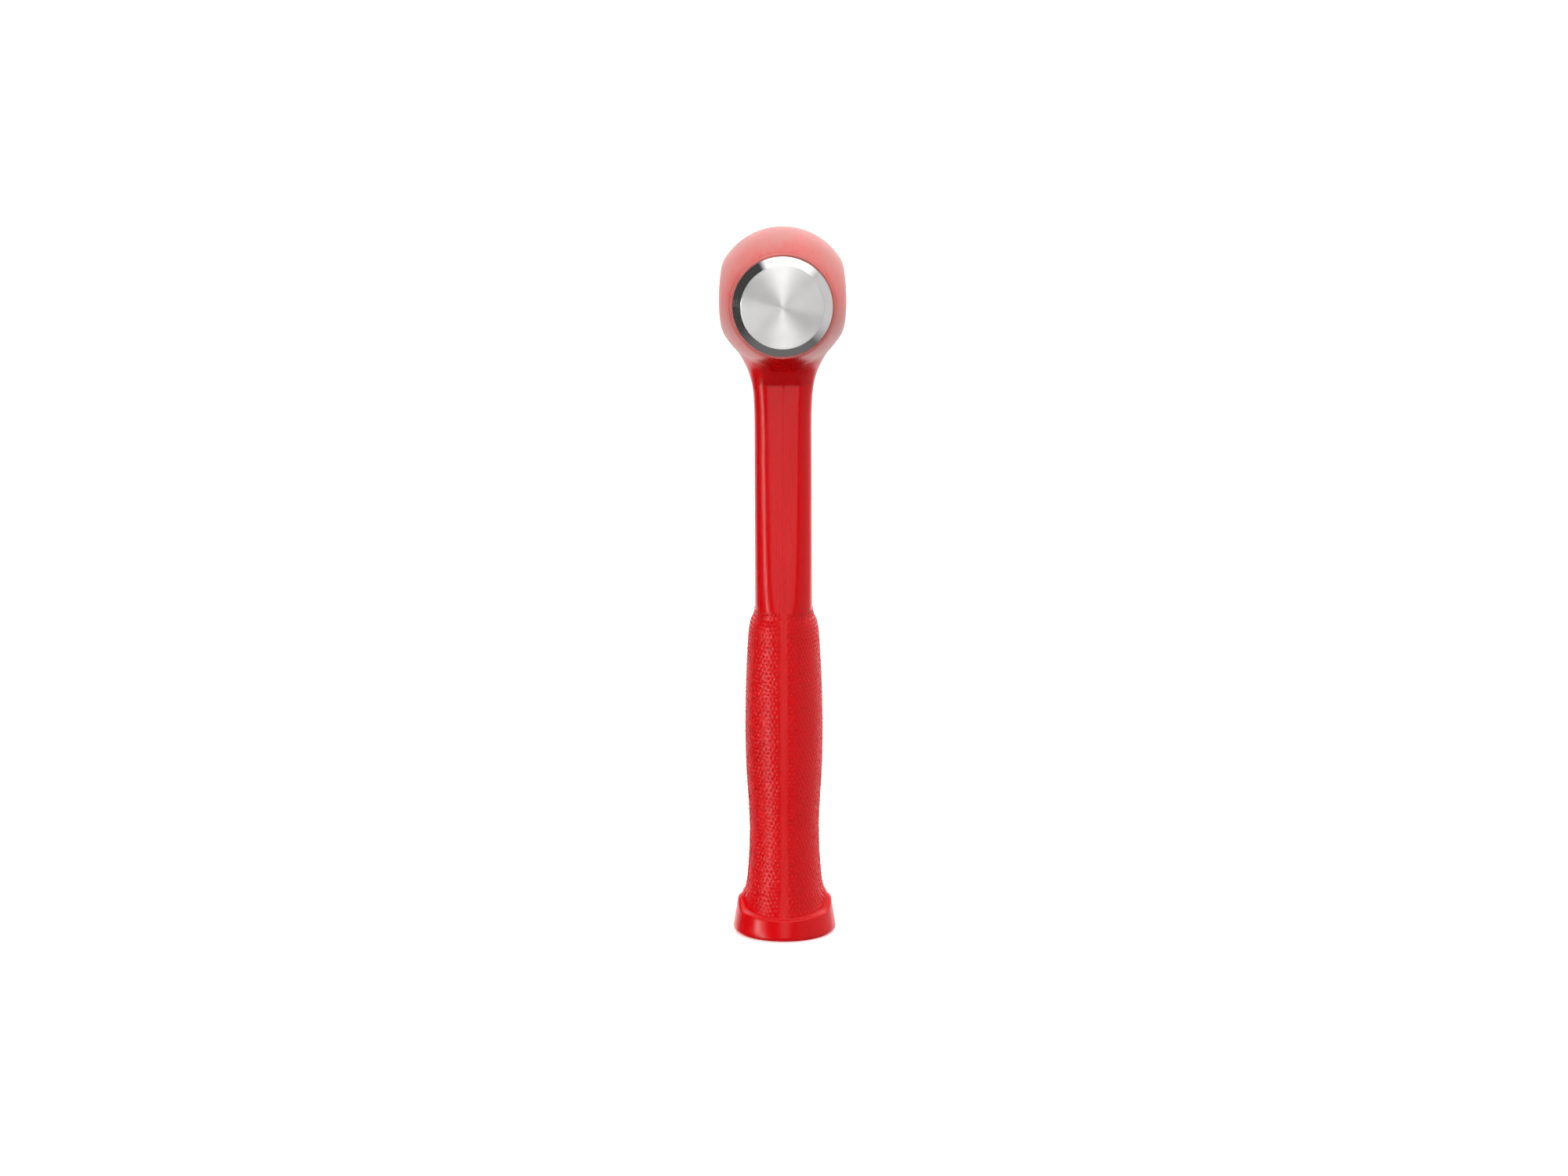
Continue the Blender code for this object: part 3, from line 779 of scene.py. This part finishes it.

# Where the urethane's colour changes, each from one distance to another: the pale scuffing with its painted
# sheen grows away from the head axis, the head begins lower at the sides than in the middle, the painted
# shade in the fillet under it starts at a height and ends to the sides, and the paler lips are at both ends
# of the barrel
HAZE_AND_SHEEN_RADII = (23.8 * MM, 30.0 * MM)
HEAD_HEIGHTS = (274.0 * MM, 285.0 * MM)
HEAD_DROOP = 0.6
# Heights and side reach of the painted shade in the fillet under the head
PAINTED_SHADE_HEIGHTS = (256.8 * MM, 258.2 * MM)
PAINTED_SHADE_ASIDE = (6.5 * MM, 13.5 * MM)
LIP_REACH = (40.9 * MM, 41.7 * MM)
EVEN = (1.0, 1.0, 1.0)


def head_radius(tree):
    """Distance from the head axis, and the outputs X, Y and Z of the point being shaded."""
    coordinates = tree.nodes.new("ShaderNodeTexCoord").outputs["Object"]
    parts = tree.nodes.new("ShaderNodeSeparateXYZ")
    wire(tree, parts.inputs[0], coordinates)
    rise = maths(tree, "SUBTRACT", parts.outputs["Z"], HEAD_Z)
    across = maths(tree, "POWER", parts.outputs["X"], 2.0)
    square = maths(tree, "ADD", across, maths(tree, "POWER", rise, 2.0))
    return maths(tree, "SQRT", square), parts.outputs


def urethane_material():
    """Cast urethane: saturated red, deeper on the pebbles' tops, with painted shade in the fillet under the
    head.

    The head is paler all over, partly real scuffing and partly a painted sheen that grows away from the
    head axis, and its lips are paler still. Drag lines run up the handle, with soft waves and a fine grain.
    """
    made, tree, shader = new_material("urethane_red")
    drag = noise(tree, (900.0, 900.0, 14.0), 1.0, 4.0, 0.65)
    waves = noise(tree, (1.0, 1.0, 0.55), 160.0, 2.0)
    grain = noise(tree, EVEN, 2600.0, 2.0)
    patches = noise(tree, (1.0, 1.0, 0.4), 55.0, 4.0)
    pebble = tree.nodes.new("ShaderNodeAttribute")
    pebble.attribute_name = "pebble"

    tone = blend_colours(tree, over_noise(tree, patches, 0.0, 0.55), RED, RED_DEEP)
    tone = blend_colours(tree, spread(tree, pebble.outputs["Fac"], 0.2, 1.0, 0.0, 0.22), tone, RED_DEEP)
    radius, parts = head_radius(tree)
    aside = maths(tree, "ABSOLUTE", parts["X"])
    reach = maths(tree, "MULTIPLY_ADD", aside, HEAD_DROOP, parts["Z"])
    on_head = spread(tree, reach, *HEAD_HEIGHTS, 0.0, 1.0, smooth=True)
    # Painted shade: the fillet under the head gets a darker red, above a height and towards the middle
    fillet = spread(tree, parts["Z"], *PAINTED_SHADE_HEIGHTS, 0.0, 1.0, smooth=True)
    fillet = maths(tree, "SUBTRACT", fillet, on_head)
    fillet = maths(tree, "MULTIPLY", fillet, spread(tree, aside, *PAINTED_SHADE_ASIDE, 1.0, 0.0, smooth=True))
    tone = blend_colours(tree, fillet, tone, RED_PAINTED_SHADE)
    clouds = noise(tree, (1.0, 0.5, 1.0), 75.0, 4.0, 0.55)
    rubs = noise(tree, (1.0, 0.12, 0.6), 700.0, 3.0)
    # Partly painted sheen: real scuffing on the head, plus a painted sheen that grows away from the head
    # axis
    haze_and_sheen = spread(tree, radius, *HAZE_AND_SHEEN_RADII, 0.62, 0.84, smooth=True)
    haze_and_sheen = maths(tree, "ADD", haze_and_sheen, over_noise(tree, clouds, -0.26, 0.22))
    haze_and_sheen = maths(tree, "ADD", haze_and_sheen, over_noise(tree, rubs, -0.16, 0.16))
    haze_and_sheen = maths(tree, "MULTIPLY", on_head, maths(tree, "MINIMUM", haze_and_sheen, 1.0))
    tone = blend_colours(tree, haze_and_sheen, tone, RED_HAZE_AND_SHEEN)
    lip = spread(tree, maths(tree, "ABSOLUTE", parts["Y"]), *LIP_REACH, 0.0, 0.8, smooth=True)
    wire(tree, shader.inputs["Base Color"], blend_colours(tree, lip, tone, RED_PALE_LIP))

    rough = maths(tree, "ADD", over_noise(tree, drag, 0.19, 0.27), over_noise(tree, patches, 0.0, 0.07))
    rough = maths(tree, "ADD", rough, maths(tree, "MULTIPLY", haze_and_sheen, 0.12))
    wire(tree, shader.inputs["Roughness"], rough)
    shader.inputs["IOR"].default_value = 1.38
    normal = bump(tree, waves, 0.10 * MM)
    normal = bump(tree, drag, 0.016 * MM, normal)
    normal = bump(tree, grain, 0.006 * MM, normal)
    wire(tree, shader.inputs["Normal"], normal)
    return made


def steel_material():
    """Turned steel: fine rings about the head axis, brushed so that the light fans out from the centre.

    It is rougher inside the radius of the striking face's flat than on the chamfer and the rims outside.
    """
    made, tree, shader = new_material("turned_steel")
    radius, parts = head_radius(tree)
    along = tree.nodes.new("ShaderNodeCombineXYZ")
    wire(tree, along.inputs[0], radius)
    wire(tree, along.inputs[1], parts["Y"])
    ring_noise = tree.nodes.new("ShaderNodeTexNoise")
    wire(tree, ring_noise.inputs["Vector"], along.outputs[0])
    ring_noise.inputs["Scale"].default_value = 5200.0
    ring_noise.inputs["Detail"].default_value = 4.0
    ring_noise.inputs["Roughness"].default_value = 0.7
    rings = ring_noise.outputs[0]
    broad = noise(tree, EVEN, 90.0, 3.0)
    tone = blend_colours(tree, over_noise(tree, rings, 0.0, 1.0), STEEL_DARK, STEEL_LIGHT)
    tone = blend_colours(tree, spread(tree, broad, 0.35, 0.7, 0.0, 0.35), tone, STEEL_CLOUDED)
    wire(tree, shader.inputs["Base Color"], tone)
    shader.inputs["Metallic"].default_value = 1.0
    flat_r = FACE_R - FACE_CHAMFER
    on_flat = spread(tree, radius, flat_r, flat_r + 0.3 * MM, 1.0, 0.0)
    rough = over_noise(tree, rings, 0.05, 0.09)
    rough = maths(tree, "ADD", rough, maths(tree, "MULTIPLY", on_flat, over_noise(tree, broad, 0.26, 0.32)))
    wire(tree, shader.inputs["Roughness"], rough)
    shader.inputs["Anisotropic"].default_value = 0.85
    shader.inputs["Anisotropic Rotation"].default_value = 0.25
    tangent = tree.nodes.new("ShaderNodeTangent")
    tangent.direction_type = "RADIAL"
    tangent.axis = "Y"
    wire(tree, shader.inputs["Tangent"], tangent.outputs[0])
    wire(tree, shader.inputs["Normal"], bump(tree, rings, 0.004 * MM))
    return made


def plain_steel(name, dark, light, stretch, roughness):
    """Drawn or ground steel that stays inside the hammer: streaks along one axis and a little staining."""
    made, tree, shader = new_material(name)
    streaks = noise(tree, stretch, 1.0, 4.0, 0.65)
    stains = noise(tree, EVEN, 140.0, 4.0)
    tone = blend_colours(tree, over_noise(tree, streaks, 0.0, 1.0), (*dark, 1.0), (*light, 1.0))
    tone = blend_colours(tree, spread(tree, stains, 0.5, 0.75, 0.0, 0.4), tone, STEEL_STAINED)
    wire(tree, shader.inputs["Base Color"], tone)
    shader.inputs["Metallic"].default_value = 1.0
    wire(tree, shader.inputs["Roughness"], over_noise(tree, streaks, roughness, roughness + 0.14))
    wire(tree, shader.inputs["Normal"], bump(tree, streaks, 0.01 * MM))
    return made


def nylon_material():
    """Moulded nylon of the rod spacers, matt and faintly mottled."""
    made, tree, shader = new_material("spacer_nylon")
    mottle = noise(tree, EVEN, 420.0, 3.0)
    tone = blend_colours(tree, over_noise(tree, mottle, 0.0, 1.0), NYLON_DARK, NYLON_LIGHT)
    wire(tree, shader.inputs["Base Color"], tone)
    wire(tree, shader.inputs["Roughness"], over_noise(tree, mottle, 0.48, 0.62))
    wire(tree, shader.inputs["Normal"], bump(tree, mottle, 0.02 * MM))
    return made


def dress_inner_nodes():
    """Finishes for the CAD nodes that stay as they are, inside the casting."""
    drawn = plain_steel("mild_steel", (0.31, 0.31, 0.32), (0.42, 0.42, 0.43), (1500.0, 1500.0, 40.0), 0.34)
    spring = plain_steel("pin_steel", (0.42, 0.42, 0.44), (0.54, 0.54, 0.56), (2400.0, 2400.0, 60.0), 0.26)
    worn = plain_steel("shot_steel", (0.36, 0.36, 0.37), (0.48, 0.48, 0.49), (900.0, 900.0, 900.0), 0.30)
    nylon = nylon_material()
    finishes = {
        "canister_tube": drawn,
        "rod_socket": drawn,
        "handle_rod": drawn,
        "face_retaining_pin": spring,
        "peen_retaining_pin": spring,
        "socket_cross_pin": spring,
        "rod_spacer_upper": nylon,
        "rod_spacer_lower": nylon,
    }
    for name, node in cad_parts.items():
        finish = worn if name.startswith("shot_") else finishes.get(name)
        if finish:
            for slot in node.material_slots:
                slot.material = finish


# Camera: its distance and height are in metres, and its lens and sensor in millimetres
CAMERA_DISTANCE = 1.7
CAMERA_HEIGHT = 0.4753
CAMERA_DOWN_DEG = 10.4326
CAMERA_ROLL_DEG = -0.187
CAMERA_ASIDE = 0.0002
CAMERA_LENS = 86.26
CAMERA_SENSOR = 36.0


def camera():
    """The camera in front of the hammer, a little above the head axis and tilted down."""
    data = bpy.data.cameras.new("camera")
    data.lens = CAMERA_LENS
    data.sensor_width = CAMERA_SENSOR
    made = bpy.data.objects.new("camera", data)
    made.location = (CAMERA_ASIDE, -CAMERA_DISTANCE, CAMERA_HEIGHT)
    aim = Matrix.Rotation(math.radians(90.0 - CAMERA_DOWN_DEG), 4, "X")
    made.rotation_euler = (aim @ Matrix.Rotation(math.radians(CAMERA_ROLL_DEG), 4, "Z")).to_euler()
    bpy.context.collection.objects.link(made)
    bpy.context.scene.camera = made


# Softboxes, in degrees seen from the hammer: azimuth left of the camera, elevation, half-width and
# half-height, then the softness of the edges and the strength. In order they are above, behind, high at
# the right, behind at the right, at the right, right of front, in front, low at the left of front, and a
# small bright one at the left.
SOFTBOXES = [
    (180.0, 76.0, 28.0, 58.0, 0.22, 1.75),
    (180.0, 14.0, 52.0, 58.0, 0.45, 1.45),
    (-42.0, 56.0, 30.0, 15.0, 0.35, 1.45),
    (-115.0, 25.0, 22.0, 35.0, 0.40, 1.15),
    (-90.0, 5.0, 46.0, 50.0, 0.80, 0.66),
    (-48.0, -10.0, 20.0, 50.0, 0.20, 0.52),
    (0.0, 14.0, 9.0, 40.0, 0.06, 1.60),
    (53.0, -20.0, 6.0, 18.0, 0.05, 7.8),
    (64.0, -1.0, 4.5, 5.0, 0.03, 17.0),
]
LEAST_AHEAD = 0.05

# Brightness of the room, and of what lies under the hammer, which fades into the room between two sines
# of elevation
ROOM = 0.06
UNDERSIDE = 0.16
UNDERSIDE_FADE = (-0.9, -0.5)


def softbox(tree, direction, box):
    """Light from one flat rectangle far away, with soft edges, as a brightness over directions."""
    azimuth, elevation, half_width, half_height = np.radians(box[:4])
    soft, strength = box[4:]
    level = math.cos(elevation)
    centre = np.array([-math.sin(azimuth) * level, -math.cos(azimuth) * level, math.sin(elevation)])
    across = np.array([math.cos(azimuth), -math.sin(azimuth), 0.0])
    up = np.cross(across, centre)

    def share_of(axis):
        dot = tree.nodes.new("ShaderNodeVectorMath")
        dot.operation = "DOT_PRODUCT"
        wire(tree, dot.inputs[0], direction)
        dot.inputs[1].default_value = tuple(axis)
        return dot.outputs["Value"]

    ahead = share_of(centre)
    shown = maths(tree, "MULTIPLY", maths(tree, "GREATER_THAN", ahead, LEAST_AHEAD), strength)
    for axis, half in ((across, math.tan(half_width)), (up, math.tan(half_height))):
        off = maths(tree, "DIVIDE", share_of(axis), maths(tree, "MAXIMUM", ahead, LEAST_AHEAD))
        off = maths(tree, "ABSOLUTE", off)
        inside = spread(tree, off, half - soft, half + soft, 1.0, 0.0, smooth=True)
        shown = maths(tree, "MULTIPLY", shown, inside)
    return shown


def studio_light():
    """A dim room with softboxes, which only the object sees: to the camera all of it is white."""
    world = bpy.data.worlds.new("studio")
    bpy.context.scene.world = world
    bpy.context.scene.view_settings.view_transform = "Standard"
    world.use_nodes = True
    world.cycles.sampling_method = "NONE"
    tree = world.node_tree
    direction = tree.nodes.new("ShaderNodeTexCoord").outputs["Generated"]
    parts = tree.nodes.new("ShaderNodeSeparateXYZ")
    wire(tree, parts.inputs[0], direction)
    total = spread(tree, parts.outputs["Z"], *UNDERSIDE_FADE, UNDERSIDE, ROOM, smooth=True)
    for box in SOFTBOXES:
        total = maths(tree, "MAXIMUM", total, softbox(tree, direction, box))
    rays = tree.nodes.new("ShaderNodeLightPath")
    seen = maths(tree, "MAXIMUM", total, rays.outputs["Is Camera Ray"])
    tree.nodes["Background"].inputs["Color"].default_value = WHITE
    wire(tree, tree.nodes["Background"].inputs["Strength"], seen)


FLOOR_HALF = 6.0
FLOOR_GLOW = 0.5


def pale_floor():
    """A nearly white floor that catches a faint shadow and stays out of the reflections."""
    half = FLOOR_HALF
    corners = [(-half, -half, 0), (half, -half, 0), (half, half, 0), (-half, half, 0)]
    mesh = bpy.data.meshes.new("floor")
    mesh.from_pydata(corners, [], [(0, 1, 2, 3)])
    floor = bpy.data.objects.new("floor", mesh)
    bpy.context.collection.objects.link(floor)
    made, tree, shader = new_material("pale_floor")
    tone = blend_colours(tree, noise(tree, EVEN, 3.0, 2.0), FLOOR_DARK, FLOOR_LIGHT)
    wire(tree, shader.inputs["Base Color"], tone)
    shader.inputs["Roughness"].default_value = 0.8
    shader.inputs["Emission Color"].default_value = WHITE
    shader.inputs["Emission Strength"].default_value = FLOOR_GLOW
    mesh.materials.append(made)
    floor.visible_glossy = False
    floor.visible_diffuse = False


camera()
studio_light()
pale_floor()
dress_inner_nodes()
red = urethane_material()
steel = steel_material()
casting_skin(red)
striking_face(steel)
ball_peen(steel)
parting_line("parting_line_front", -1, red)
parting_line("parting_line_back", 1, red)
